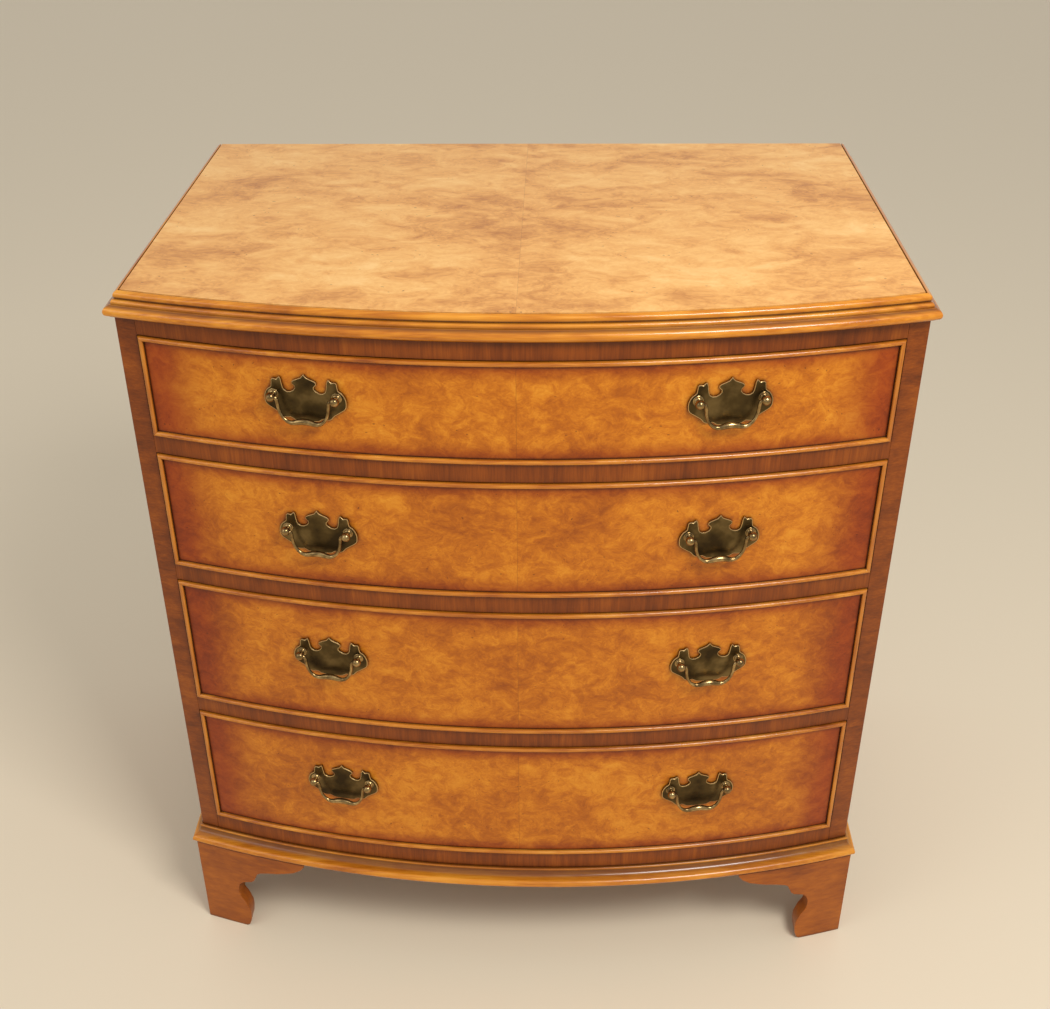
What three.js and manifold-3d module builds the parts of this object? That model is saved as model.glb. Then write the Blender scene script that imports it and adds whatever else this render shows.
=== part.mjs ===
// A bow front chest of four graduated drawers in walnut, on bracket feet, with swan neck drop handles.
// Millimetres, +Z up, the floor at z = 0, the bowed front facing -Y, the middle of the depth at y = 0.
import * as THREE from 'three';
import { mergeVertices } from 'three/addons/utils/BufferGeometryUtils.js';
import Module from 'manifold-3d';

// Fits and clearances
const glue_gap = 0.1;
const bow_gap = 0.35;
const mitre_gap = 0.2;
const overrun = 30;
const drawer_gap = 1;
const running_gap = 0.3;
const kicker_gap = 1.5;
const drawer_back_gap = 8;

// Carcass
const carcass_width = 788;
const side_depth = 463;
const bow_rise = 61;
const side_thickness = 21.5;
const back_thickness = 10;
const back_rebate = 12;
const top_rail_height = 20;
const rail_height = 20;
const rail_depth = 34;
const bottom_rail_height = 44;
const runner_width = 40;
const dust_thickness = 8;
const bottom_thickness = 18;
const kicker_width = 45;

// Top with its applied edge moulding
const top_thickness = 25;
const veneer_inset = 10;
const veneer_rise = 52;
const veneer_lead = 1.5;
const top_mould_front = 17;
const top_mould_side = 16;

// Base moulding and bracket feet
const base_mould_height = 21.4;
const base_mould_front = 16;
const base_mould_side = 11.4;
const foot_height = 131.3;
const foot_lead_front = 12.5;
const foot_lead_side = 7.6;
const foot_length = 140;
const foot_thickness = 20;
const foot_block = 28;
const foot_block_lift = 10;
const back_foot_length = 100;

// Drawers, from the top one down
const front_heights = [110.5, 136.5, 162.5, 164];
const front_thickness = 20;
const bead_width = 5;
const bead_lead = 4;
const lining_thickness = 9;
const drawer_bottom_thickness = 6;
const drawer_bottom_lift = 8;
const groove_depth = 4;
const drawer_back_drop = 6;

// Handles: how far out they sit, and how far their posts are above the middle of each drawer front
const handle_spread = 204;
const handle_lifts = [11, 2.5, 12.8, 14];
const post_spacing = 64;
const plate_half_width = 41.6;
const plate_rise = 23;
const plate_drop = 28;
const plate_thickness = 2.2;
const plate_seat = 0.3;
const post_flange_radius = 5.4;
const post_neck_radius = 2.9;
const ball_radius = 4.8;
const pivot_lead = 10.6;
const pin_reach = 2;
const bail_radius = 1.9;
const bail_drop = 26.4;
const bail_hole_radius = 2.9;

// How finely curves are cut
const bow_steps = 16;
const post_sides = 10;
const bail_sides = 6;
const bail_steps = 22;
const hole_sides = 8;

// Places that follow from the sizes above
const half_width = carcass_width / 2;
const inner_half = half_width - side_thickness;
const total_depth = side_depth + bow_rise + base_mould_front;
const back_y = total_depth / 2;
const stile_y = back_y - side_depth;
const bow_radius = (half_width ** 2 + bow_rise ** 2) / (2 * bow_rise);
const bow_centre = stile_y - bow_rise + bow_radius;
const veneer_half = half_width - veneer_inset;
const veneer_radius = (veneer_half ** 2 + veneer_rise ** 2) / (2 * veneer_rise);
const veneer_centre = stile_y - veneer_lead - veneer_rise + veneer_radius;
const rail_back = stile_y + rail_depth;
const back_panel_front = back_y - back_thickness;
const carcass_bottom = foot_height;
const bottom_rail_top = carcass_bottom + bottom_rail_height;

// The drawer openings are stacked upwards from the bottom rail.
const openings = [];
let level = bottom_rail_top;
for (const height of [...front_heights].reverse()) {
  openings.unshift({ bottom: level, top: level + height + 2 * drawer_gap });
  level += height + 2 * drawer_gap + rail_height;
}
const carcass_top = openings[0].top + top_rail_height;

const wasm = await Module();
wasm.setup();

function toSolid(geometry) {
  const bare = geometry.clone();
  bare.deleteAttribute('normal');
  bare.deleteAttribute('uv');
  const merged = mergeVertices(bare);
  const mesh = new wasm.Mesh({
    numProp: 3,
    vertProperties: new Float32Array(merged.attributes.position.array),
    triVerts: new Uint32Array(merged.index.array),
  });
  return new wasm.Manifold(mesh);
}

function toGeometry(solid) {
  const mesh = solid.getMesh();
  const geometry = new THREE.BufferGeometry();
  geometry.setAttribute('position', new THREE.BufferAttribute(mesh.vertProperties, 3));
  geometry.setIndex(new THREE.BufferAttribute(mesh.triVerts, 1));
  geometry.computeVertexNormals();
  return geometry;
}

function cut(geometry, ...tools) {
  return toGeometry(tools.reduce((solid, tool) => solid.subtract(toSolid(tool)), toSolid(geometry)));
}

function join(...geometries) {
  return toGeometry(geometries.map(toSolid).reduce((whole, solid) => whole.add(solid)));
}

function common(a, b) {
  return toGeometry(toSolid(a).intersect(toSolid(b)));
}

const point = (x, y) => new THREE.Vector2(x, y);

// An upright piece from its plan outline
function fromPlan(outline, bottom, top) {
  const shape = new THREE.Shape(outline);
  const geometry = new THREE.ExtrudeGeometry(shape, { depth: top - bottom, bevelEnabled: false });
  return geometry.translate(0, 0, bottom);
}

// A piece from its outline seen from the front, as (x, z)
function fromFront(outline, front, back) {
  const shape = new THREE.Shape(outline);
  const geometry = new THREE.ExtrudeGeometry(shape, { depth: back - front, bevelEnabled: false });
  return geometry.rotateX(Math.PI / 2).translate(0, back, 0);
}

// A piece from its outline seen from the right, as (y, z)
function fromSide(outline, left, right) {
  const shape = new THREE.Shape(outline);
  const geometry = new THREE.ExtrudeGeometry(shape, { depth: right - left, bevelEnabled: false });
  const axes = [new THREE.Vector3(0, 1, 0), new THREE.Vector3(0, 0, 1), new THREE.Vector3(1, 0, 0)];
  return geometry.applyMatrix4(new THREE.Matrix4().makeBasis(...axes)).translate(left, 0, 0);
}

function box(x0, x1, y0, y1, z0, z1) {
  return fromPlan([point(x0, y0), point(x1, y0), point(x1, y1), point(x0, y1)], z0, z1);
}

// Depth of a bow at x, and its plan points from one x to another
const bowDepth = (centre, radius, x) => centre - Math.sqrt(radius ** 2 - x ** 2);

function bowPoints(centre, radius, from, to, steps = bow_steps) {
  const start = Math.asin(from / radius);
  const end = Math.asin(to / radius);
  return Array.from({ length: steps + 1 }, (_, i) => {
    const angle = start + ((end - start) * i) / steps;
    return point(radius * Math.sin(angle), centre - radius * Math.cos(angle));
  });
}

// A board with a bowed front edge and a straight back edge
function bowedBoard(centre, radius, half, back, bottom, top) {
  const outline = [...bowPoints(centre, radius, -half, half), point(half, back), point(-half, back)];
  return fromPlan(outline, bottom, top);
}

// A curved board with the same bow on both faces
function bowedBand(outer, inner, from, to, bottom, top, steps = bow_steps) {
  const front = bowPoints(bow_centre, outer, from, to, steps);
  const back = bowPoints(bow_centre, inner, from, to, steps).reverse();
  return fromPlan([...front, ...back], bottom, top);
}

class BowPath extends THREE.Curve {
  constructor(centre, radius, half) {
    super();
    this.centre = centre;
    this.radius = radius;
    this.reach = Math.asin(half / radius);
  }

  getPoint(t, target = new THREE.Vector3()) {
    const angle = this.reach * (2 * t - 1);
    return target.set(this.radius * Math.sin(angle), this.centre - this.radius * Math.cos(angle), 0);
  }
}

// Moulding sections, as shares of their width outwards and of their height downwards
const top_mould_shares = [
  [0, 0], [0.12, 0], [0.14, 0.03], [0.25, 0.06], [0.35, 0.13], [0.38, 0.22], [0.38, 0.28], [0.33, 0.3],
  [0.42, 0.33], [0.51, 0.38], [0.53, 0.45], [0.6, 0.49], [0.78, 0.52], [0.92, 0.57], [1, 0.66], [1, 0.8],
  [0.93, 0.91], [0.8, 0.98], [0.7, 1], [0, 1],
];
const base_mould_shares = [
  [0, 0], [0.16, 0], [0.22, 0.04], [0.24, 0.11], [0.2, 0.17], [0.28, 0.27], [0.46, 0.39], [0.66, 0.46],
  [0.84, 0.48], [0.96, 0.55], [1, 0.67], [0.96, 0.8], [0.85, 0.9], [0.66, 0.95], [0.56, 1], [0, 1],
];

const mouldPoints = (shares, width, height, seat) =>
  shares.map(([out, down]) => [Math.max(out * width, seat), down * height]);

// The moulding round a bowed top or base: one bowed length at the front, a straight one on each side,
// mitred at the front corners. Each mitre runs from the corner inside the moulding to the one outside it.
function mouldings(plan) {
  const { shares, centre, radius, half, front, side, height, top } = plan;
  const section = mouldPoints(shares, front, height, bow_gap).map(([out, down]) => point(down, -out));
  const path = new BowPath(centre, radius, half + overrun);
  const options = { steps: bow_steps + 2, bevelEnabled: false, extrudePath: path };
  const bow = new THREE.ExtrudeGeometry(new THREE.Shape(section), options).translate(0, 0, top);

  const inner = point(half, bowDepth(centre, radius, half));
  const outer = point(half + side, bowDepth(centre, radius + front, half + side));
  const along = outer.clone().sub(inner).normalize();
  const across = point(along.y, -along.x).multiplyScalar(mitre_gap / 2);
  const near = inner.clone().addScaledVector(along, -overrun);
  const far = outer.clone().addScaledVector(along, overrun);
  const flip = (p) => point(-p.x, p.y);

  const ahead = point(far.x, bowDepth(centre, radius + front + overrun, 0));
  const frontEnds = [near.clone().add(across), far.clone().add(across), ahead];
  const frontPlan = [...frontEnds.map(flip), ...frontEnds.reverse()];
  const sideEnds = [near.clone().sub(across), far.clone().sub(across)];
  const sidePlan = [...sideEnds, point(far.x, back_y), point(near.x, back_y)];
  const section_side = mouldPoints(shares, side, height, glue_gap);
  const straight = section_side.map(([out, down]) => point(half + out, top - down));
  const right = common(fromFront(straight, far.y, back_y), fromPlan(sidePlan, top - height, top));
  return {
    front: common(bow, fromPlan(frontPlan, top - height, top)),
    left: toGeometry(toSolid(right).mirror([1, 0, 0])),
    right,
  };
}

// The outline of a bracket foot, as shares of its length and height, from its outer bottom corner
const bracket_shares = [
  [0, 0], [0.371, 0], [0.396, 0.023], [0.416, 0.076], [0.426, 0.152], [0.424, 0.229], [0.404, 0.29],
  [0.387, 0.335], [0.357, 0.381], [0.344, 0.419], [0.339, 0.472], [0.341, 0.511], [0.357, 0.556],
  [0.386, 0.591], [0.414, 0.606], [0.475, 0.625], [0.504, 0.652], [0.523, 0.701], [0.543, 0.751],
  [0.571, 0.77], [0.65, 0.796], [0.743, 0.818], [0.814, 0.842], [0.883, 0.867], [0.929, 0.899],
  [0.961, 0.927], [0.989, 0.968], [1, 1], [0, 1],
];
const back_bracket_shares = [[0, 0], [0.42, 0], [0.5, 0.55], [1, 0.82], [1, 1], [0, 1]];

const foot_top = foot_height - glue_gap;
const foot_side_x = half_width + foot_lead_side;
const foot_radius = bow_radius + foot_lead_front;
const foot_corner_y = bowDepth(bow_centre, foot_radius, foot_side_x);

const bracket = (shares, length, start, way) =>
  shares.map(([along, up]) => point(start + way * along * length, up * foot_top));

function blockBehind(y0, y1) {
  const outer = foot_side_x - foot_thickness / 2;
  return box(outer - foot_block, outer, y0, y1, foot_block_lift, foot_top);
}

// A front foot: a bowed bracket and a side bracket that meet at the corner, with a glue block behind
function frontFoot() {
  const face = fromFront(bracket(bracket_shares, foot_length, foot_side_x, -1), foot_corner_y - bow_rise, stile_y);
  const inner = foot_side_x - foot_length - overrun;
  const band = bowedBand(foot_radius, foot_radius - foot_thickness, inner, foot_side_x, 0, foot_top);
  const side_outline = bracket(bracket_shares, foot_length, foot_corner_y, 1);
  const side = fromSide(side_outline, foot_side_x - foot_thickness, foot_side_x);
  const block_y = foot_corner_y + foot_thickness / 2;
  return join(common(face, band), side, blockBehind(block_y, block_y + foot_block));
}

// A back foot: a side bracket, a plain back bracket with a straight cut, and a glue block
function backFoot() {
  const side_outline = bracket(bracket_shares, foot_length, back_y, -1);
  const side = fromSide(side_outline, foot_side_x - foot_thickness, foot_side_x);
  const outline = bracket(back_bracket_shares, back_foot_length, foot_side_x, -1);
  const rear = fromFront(outline, back_y - foot_thickness, back_y);
  const block_y = back_y - foot_thickness / 2;
  return join(side, rear, blockBehind(block_y - foot_block, block_y));
}

const mirrored = (geometry) => toGeometry(toSolid(geometry).mirror([1, 0, 0]));

const finishes = {
  top_veneer: { color: 0xd08a4c, roughness: 0.3 },
  veneer: { color: 0xa9581f, roughness: 0.35 },
  crossband: { color: 0x7c3f1d, roughness: 0.4 },
  moulding: { color: 0xa86225, roughness: 0.35 },
  foot: { color: 0x8a4519, roughness: 0.4 },
  lining: { color: 0xb98f5d, roughness: 0.7 },
  carcass_wood: { color: 0x9a7650, roughness: 0.8 },
  brass: { color: 0x5d5138, roughness: 0.35, metalness: 1 },
};

const chest = new THREE.Group();

function add(name, geometry, finish, parent = chest) {
  const material = new THREE.MeshStandardMaterial(finishes[finish]);
  material.name = finish;
  const mesh = new THREE.Mesh(geometry, material);
  mesh.name = name;
  parent.add(mesh);
}

// Top board, whose bow is a little flatter than the bow of the front
const top_level = carcass_top + top_thickness;
const top_board = bowedBoard(veneer_centre, veneer_radius, veneer_half, back_y, carcass_top + glue_gap, top_level);
add('top_board', top_board, 'top_veneer');

const top_moulds = mouldings({
  shares: top_mould_shares,
  centre: veneer_centre,
  radius: veneer_radius,
  half: veneer_half,
  front: top_mould_front,
  side: top_mould_side,
  height: top_thickness - glue_gap,
  top: top_level,
});
for (const [place, geometry] of Object.entries(top_moulds)) {
  add(`top_moulding_${place}`, geometry, 'moulding');
}

const base_moulds = mouldings({
  shares: base_mould_shares,
  centre: bow_centre,
  radius: bow_radius,
  half: half_width,
  front: base_mould_front,
  side: base_mould_side,
  height: base_mould_height,
  top: carcass_bottom + base_mould_height,
});
for (const [place, geometry] of Object.entries(base_moulds)) {
  add(`base_moulding_${place}`, geometry, 'moulding');
}

// Side panels: the front edge follows the bow, and the back edge is rebated for the back panel
const side_front = bowPoints(bow_centre, bow_radius, inner_half, half_width, 2);
const rebate_x = half_width - back_rebate;
const side_plan = [
  ...side_front,
  point(half_width, back_y),
  point(rebate_x, back_y),
  point(rebate_x, back_panel_front),
  point(inner_half, back_panel_front),
];
const side_panel = fromPlan(side_plan, carcass_bottom, carcass_top);
add('side_right', side_panel, 'veneer');
add('side_left', mirrored(side_panel), 'veneer');

const back_half = rebate_x - glue_gap;
const back_front = back_panel_front + glue_gap;
const back_panel = box(-back_half, back_half, back_front, back_y, carcass_bottom, carcass_top);
add('back_panel', back_panel, 'carcass_wood');

// Rails: bowed at the front, straight at the back, between the side panels
const rail_half = inner_half - glue_gap;

function rail(bottom, top) {
  return bowedBoard(bow_centre, bow_radius, rail_half, rail_back, bottom, top);
}
add('rail_top', rail(openings[0].top, carcass_top), 'crossband');
add('rail_bottom', rail(carcass_bottom, bottom_rail_top), 'crossband');

const panel_front = rail_back + glue_gap;
const panel_back = back_panel_front - glue_gap;

// A dust board under each of the upper drawers: a thin panel between two thick runners
function dustBoard(bottom, top) {
  const middle = (bottom + top) / 2;
  const runner = rail_half - runner_width;
  const upper = middle + dust_thickness / 2;
  const lower = middle - dust_thickness / 2;
  const outline = [
    point(-rail_half, bottom),
    point(-runner, bottom),
    point(-runner, lower),
    point(runner, lower),
    point(runner, bottom),
    point(rail_half, bottom),
    point(rail_half, top),
    point(runner, top),
    point(runner, upper),
    point(-runner, upper),
    point(-runner, top),
    point(-rail_half, top),
  ];
  return fromFront(outline, panel_front, panel_back);
}
for (let i = 1; i < openings.length; i += 1) {
  const bottom = openings[i].top;
  const top = openings[i - 1].bottom;
  add(`rail_${i}`, rail(bottom, top), 'crossband');
  add(`dust_board_${i}`, dustBoard(bottom, top), 'carcass_wood');
}

const bottom_level = bottom_rail_top - bottom_thickness;
const bottom_board = box(-rail_half, rail_half, panel_front, panel_back, bottom_level, bottom_rail_top);
add('bottom_board', bottom_board, 'carcass_wood');

// Kickers keep the top drawer level as it is pulled out: one at each side, joined at the back
const kicker_half = rail_half - kicker_width;
const kicker_plan = [
  point(-rail_half, panel_front),
  point(-kicker_half, panel_front),
  point(-kicker_half, panel_back - kicker_width),
  point(kicker_half, panel_back - kicker_width),
  point(kicker_half, panel_front),
  point(rail_half, panel_front),
  point(rail_half, panel_back),
  point(-rail_half, panel_back),
];
add('top_kicker_frame', fromPlan(kicker_plan, openings[0].top, carcass_top), 'carcass_wood');

// Feet
const front_foot = frontFoot();
const back_foot = backFoot();
add('foot_front_right', front_foot, 'foot');
add('foot_front_left', mirrored(front_foot), 'foot');
add('foot_back_right', back_foot, 'foot');
add('foot_back_left', mirrored(back_foot), 'foot');

// Handle backplate, right half, as shares of its half width and of its rise or drop from the posts
const plate_shares = [
  [0, 1], [0.07, 0.83], [0.165, 0.76], [0.31, 0.61], [0.235, 0.42], [0.275, 0.23], [0.355, 0.15], [0.45, 0.155],
  [0.52, 0.3], [0.55, 0.68], [0.585, 0.82], [0.665, 0.68], [0.77, 0.71], [0.8, 0.53], [0.815, 0.35],
  [0.9, 0.22], [0.965, 0.04], [1, -0.17], [0.985, -0.36], [0.91, -0.49], [0.8, -0.6], [0.7, -0.7],
  [0.62, -0.84], [0.5, -0.9], [0.4, -0.88], [0.3, -0.97], [0.12, -1],
];

// The post's section, as shares of each radius and of the height from the plate to the ball's middle
const post_shares = [
  [post_flange_radius, 0], [post_flange_radius, 0.1], [post_neck_radius, 0.22], [post_neck_radius, 0.5],
];
const ball_steps = 5;

function post(x) {
  const height = pivot_lead - plate_seat - plate_thickness;
  const section = [point(0, -plate_thickness / 2), point(post_flange_radius, -plate_thickness / 2)];
  for (const [radius, share] of post_shares) {
    section.push(point(radius, share * height));
  }
  const neck = Math.asin(post_neck_radius / ball_radius);
  for (let i = 0; i <= ball_steps; i += 1) {
    const angle = neck + ((Math.PI - neck) * i) / ball_steps;
    const radius = i === ball_steps ? 0 : ball_radius * Math.sin(angle);
    section.push(point(radius, height - ball_radius * Math.cos(angle)));
  }
  const geometry = new THREE.LatheGeometry(section, post_sides);
  // The post is turned to point forwards, and its foot sits inside the plate.
  return geometry.rotateX(Math.PI).translate(x, -plate_seat - plate_thickness, 0);
}

const post_x = post_spacing / 2;
const pin_end = post_x - pin_reach;

function boring(x) {
  const hole = new THREE.CylinderGeometry(bail_hole_radius, bail_hole_radius, ball_radius * 2, hole_sides);
  const away = Math.sign(x) * (post_x - pin_reach + running_gap - ball_radius);
  return hole.rotateZ(Math.PI / 2).translate(away, -pivot_lead, 0);
}

function backplate() {
  const half = plate_shares.map(([across, up]) => {
    return point(across * plate_half_width, up * (up > 0 ? plate_rise : plate_drop));
  });
  const mirror_half = half.slice(1).reverse().map((p) => point(-p.x, p.y));
  const plate = fromFront([...half, ...mirror_half], -plate_seat - plate_thickness, -plate_seat);
  return cut(join(plate, post(-post_x), post(post_x)), boring(-post_x), boring(post_x));
}

// The bail's centre line, right half, as shares of the pin's end and of the drop
const bail_shares = [
  [1, 0], [0.92, 0], [0.88, -0.06], [0.865, -0.2], [0.85, -0.42], [0.79, -0.66], [0.67, -0.87], [0.51, -0.99],
  [0.34, -0.98], [0.17, -0.92], [0, -0.9],
];

function bail() {
  const reach = pin_end;
  const right = bail_shares.map(([across, down]) => new THREE.Vector3(across * reach, -pivot_lead, down * bail_drop));
  const left = right.slice(0, -1).map((p) => new THREE.Vector3(-p.x, p.y, p.z));
  const path = new THREE.CatmullRomCurve3([...left, ...right.reverse()]);
  const ring = Array.from({ length: bail_sides }, (_, i) => {
    const angle = (2 * Math.PI * i) / bail_sides;
    return point(bail_radius * Math.cos(angle), bail_radius * Math.sin(angle));
  });
  const options = { steps: bail_steps, bevelEnabled: false, extrudePath: path };
  return new THREE.ExtrudeGeometry(new THREE.Shape(ring), options);
}

// Drawers: a bowed front with a raised cockbead round its edge, two sides grooved for the bottom, and a back
const face_half = inner_half - drawer_gap;
const lining_inner = face_half - lining_thickness;
const drawer_end = back_panel_front - drawer_back_gap;
const front_back_radius = bow_radius - front_thickness;

function drawerFront(bottom, top) {
  const whole = bowedBand(bow_radius + bead_lead, front_back_radius, -face_half, face_half, bottom, top);
  const inset = face_half - bead_width;
  const proud = bow_radius + bead_lead + overrun;
  const recess = bowedBand(proud, bow_radius, -inset, inset, bottom + bead_width, top - bead_width);
  return cut(whole, recess);
}

function drawerSide(bottom, top) {
  const plan = [
    ...bowPoints(bow_centre, front_back_radius - running_gap, lining_inner, face_half, 1),
    point(face_half, drawer_end),
    point(lining_inner, drawer_end),
  ];
  const groove_bottom = bottom + drawer_bottom_lift - glue_gap;
  const groove_top = bottom + drawer_bottom_lift + drawer_bottom_thickness + glue_gap;
  const groove_x = lining_inner + groove_depth;
  const groove_front = bowDepth(bow_centre, bow_radius, 0);
  const groove_end = drawer_end + overrun;
  const groove = box(lining_inner - overrun, groove_x, groove_front, groove_end, groove_bottom, groove_top);
  return cut(fromPlan(plan, bottom, top), groove);
}

openings.forEach((opening, i) => {
  const name = `drawer_${i + 1}`;
  const front_bottom = opening.bottom + drawer_gap;
  const front_top = opening.top - drawer_gap;
  const lining_bottom = opening.bottom + running_gap;
  const lining_top = opening.top - kicker_gap;
  const side = drawerSide(lining_bottom, lining_top);
  const floor_bottom = lining_bottom + drawer_bottom_lift;
  const floor_top = floor_bottom + drawer_bottom_thickness;
  const floor_half = lining_inner + groove_depth - glue_gap;
  const floor_radius = front_back_radius - running_gap;
  const back_inner = lining_inner - glue_gap;
  const back_front_y = drawer_end - lining_thickness;
  const back_top = lining_top - drawer_back_drop;

  add(`${name}_front`, drawerFront(front_bottom, front_top), 'veneer');
  add(`${name}_side_right`, side, 'lining');
  add(`${name}_side_left`, mirrored(side), 'lining');
  const drawer_floor = bowedBoard(bow_centre, floor_radius, floor_half, drawer_end, floor_bottom, floor_top);
  add(`${name}_bottom`, drawer_floor, 'lining');
  const back_bottom = floor_top + glue_gap;
  add(`${name}_back`, box(-back_inner, back_inner, back_front_y, drawer_end, back_bottom, back_top), 'lining');

  const post_z = (front_bottom + front_top) / 2 + handle_lifts[i];
  for (const [place, way] of [['left', -1], ['right', 1]]) {
    const handle = new THREE.Group();
    const x = way * handle_spread;
    handle.position.set(x, bowDepth(bow_centre, bow_radius, x), post_z);
    handle.rotation.z = Math.asin(x / bow_radius);
    add(`${name}_backplate_${place}`, backplate(), 'brass', handle);
    add(`${name}_bail_${place}`, bail(), 'brass', handle);
    chest.add(handle);
  }
});

export default chest;
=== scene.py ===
import math

import bpy
from mathutils import Matrix, Vector


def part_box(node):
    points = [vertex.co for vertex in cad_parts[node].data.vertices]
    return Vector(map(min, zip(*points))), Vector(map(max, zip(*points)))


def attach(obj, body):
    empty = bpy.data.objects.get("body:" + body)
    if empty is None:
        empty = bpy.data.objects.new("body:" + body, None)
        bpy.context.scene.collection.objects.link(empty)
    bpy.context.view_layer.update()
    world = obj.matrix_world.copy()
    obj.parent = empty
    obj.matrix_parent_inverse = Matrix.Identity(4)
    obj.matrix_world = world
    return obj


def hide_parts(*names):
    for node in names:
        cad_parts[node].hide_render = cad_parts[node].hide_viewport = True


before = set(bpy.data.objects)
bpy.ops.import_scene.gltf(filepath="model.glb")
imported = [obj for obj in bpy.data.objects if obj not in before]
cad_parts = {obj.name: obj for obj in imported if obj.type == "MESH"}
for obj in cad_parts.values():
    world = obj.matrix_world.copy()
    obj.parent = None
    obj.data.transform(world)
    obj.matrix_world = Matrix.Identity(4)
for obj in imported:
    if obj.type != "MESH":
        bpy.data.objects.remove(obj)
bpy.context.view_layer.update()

MM = 0.001

# Camera: held a little above head height and aimed down at the chest, slightly to the right of its middle.
# Its place, turn and lens come from a fit to the corners and edges of the photographed chest.
PHOTO_WIDTH = 1050
PHOTO_HEIGHT = 1009
SENSOR = 36.0
focal_pixels = 1359.0
principal_u = 497.9
principal_v = 500.5
camera_place = Vector((37.9, -1400.4, 1370.5)) * MM
camera_yaw = math.radians(-2.83)
camera_pitch = math.radians(-31.63)
camera_roll = math.radians(-0.91)
camera_data = bpy.data.cameras.new("camera")
camera_data.sensor_width = SENSOR
camera_data.lens = SENSOR * focal_pixels / PHOTO_WIDTH
camera_data.shift_x = (PHOTO_WIDTH / 2 - principal_u) / PHOTO_WIDTH
camera_data.shift_y = (principal_v - PHOTO_HEIGHT / 2) / PHOTO_WIDTH
camera = bpy.data.objects.new("camera", camera_data)
bpy.context.scene.collection.objects.link(camera)
turn = Matrix.Rotation(-camera_yaw, 4, "Z") @ Matrix.Rotation(math.pi / 2 + camera_pitch, 4, "X")
camera.matrix_world = Matrix.Translation(camera_place) @ turn @ Matrix.Rotation(camera_roll, 4, "Z")
bpy.context.scene.camera = camera
bpy.context.scene.view_settings.view_transform = "Standard"


# Top board: a flat board faced with two leaves of burr walnut, book matched about a seam at the middle.
# The leaves were bleached by light to a honey gold, with soft brown clouds, curls and a few pin knots.
def linear(code):
    """The linear colour of an sRGB hex code"""
    values = [int(code[i:i + 2], 16) / 255 for i in (1, 3, 5)]
    return [v / 12.92 if v <= 0.04045 else ((v + 0.055) / 1.055) ** 2.4 for v in values] + [1.0]


def new_material(name, values):
    """A material whose shader has these values all over"""
    material = bpy.data.materials.new(name)
    material.use_nodes = True
    for socket, value in values.items():
        material.node_tree.nodes["Principled BSDF"].inputs[socket].default_value = value
    return material


def add_node(material, kind, inputs, output=0, stops=(), **settings):
    """Adds a node with its settings, its values or links, and a ramp's stops, and gives one output"""
    node = material.node_tree.nodes.new("ShaderNode" + kind)
    for name, value in settings.items():
        setattr(node, name, value)
    for name, value in inputs.items():
        if isinstance(value, bpy.types.NodeSocket):
            material.node_tree.links.new(value, node.inputs[name])
        else:
            node.inputs[name].default_value = value
    if stops:
        elements = node.color_ramp.elements
        while len(elements) < len(stops):
            elements.new(0.5)
        for element, (place, shade) in zip(elements, stops):
            element.position = place
            element.color = linear(shade) if isinstance(shade, str) else (shade, shade, shade, 1)
    return node.outputs[output]


def join_shader(material, sockets):
    """Links outputs of nodes to the shader's sockets of the given names"""
    shader = material.node_tree.nodes["Principled BSDF"]
    for name, socket in sockets.items():
        material.node_tree.links.new(socket, shader.inputs[name])


def book_matched(material, stretch, seed):
    """Object coordinates mirrored at the middle seam and stretched, the plain ones, and their X and Z"""
    place = add_node(material, "TexCoord", {}, "Object")
    x, y, z = [add_node(material, "SeparateXYZ", {"Vector": place}, axis) for axis in "XYZ"]
    across = add_node(material, "Math", {0: x}, operation="ABSOLUTE")
    joined = add_node(material, "CombineXYZ", {"X": across, "Y": y, "Z": z})
    shift = (seed, 0.37 * seed, 0.61 * seed)
    mirrored = add_node(material, "Mapping", {"Vector": joined, "Scale": stretch, "Location": shift})
    return mirrored, place, x, z


def corner_shade_and_grime(material, colour, reach, amount):
    """Painted shade and old soiled polish beside raised beads, in grooves and round the handles"""
    # The less sky a point sees, the darker its colour: painted shade from ambient occlusion
    open_sky = add_node(material, "AmbientOcclusion", {"Distance": reach * MM}, "AO", samples=6)
    limits = {"From Min": 0.35, "From Max": 0.95, "To Min": amount, "To Max": 0.0}
    shade_and_grime = add_node(material, "MapRange", {"Value": open_sky, **limits})
    return add_node(material, "Mix", {0: shade_and_grime, 6: colour, 7: linear("#2c1206")}, 2, data_type="RGBA")


# Burr walnut: sliced from a burr, polished to a soft gloss. Sizes of its marks are in millimetres
KNOT_SPACING = 8
CLUSTER_SIZE = 50
PORE_SIZE = 3
BURR_DEPTH = 0.02 * MM
# The share of the figure, and the detail, roughness and twist, of its clouds, mottle and curls
figure_shares = ((0.36, 2.0, 0.55, 0.0), (0.4, 5.0, 0.6, 0.7), (0.24, 4.0, 0.62, 1.6))


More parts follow.
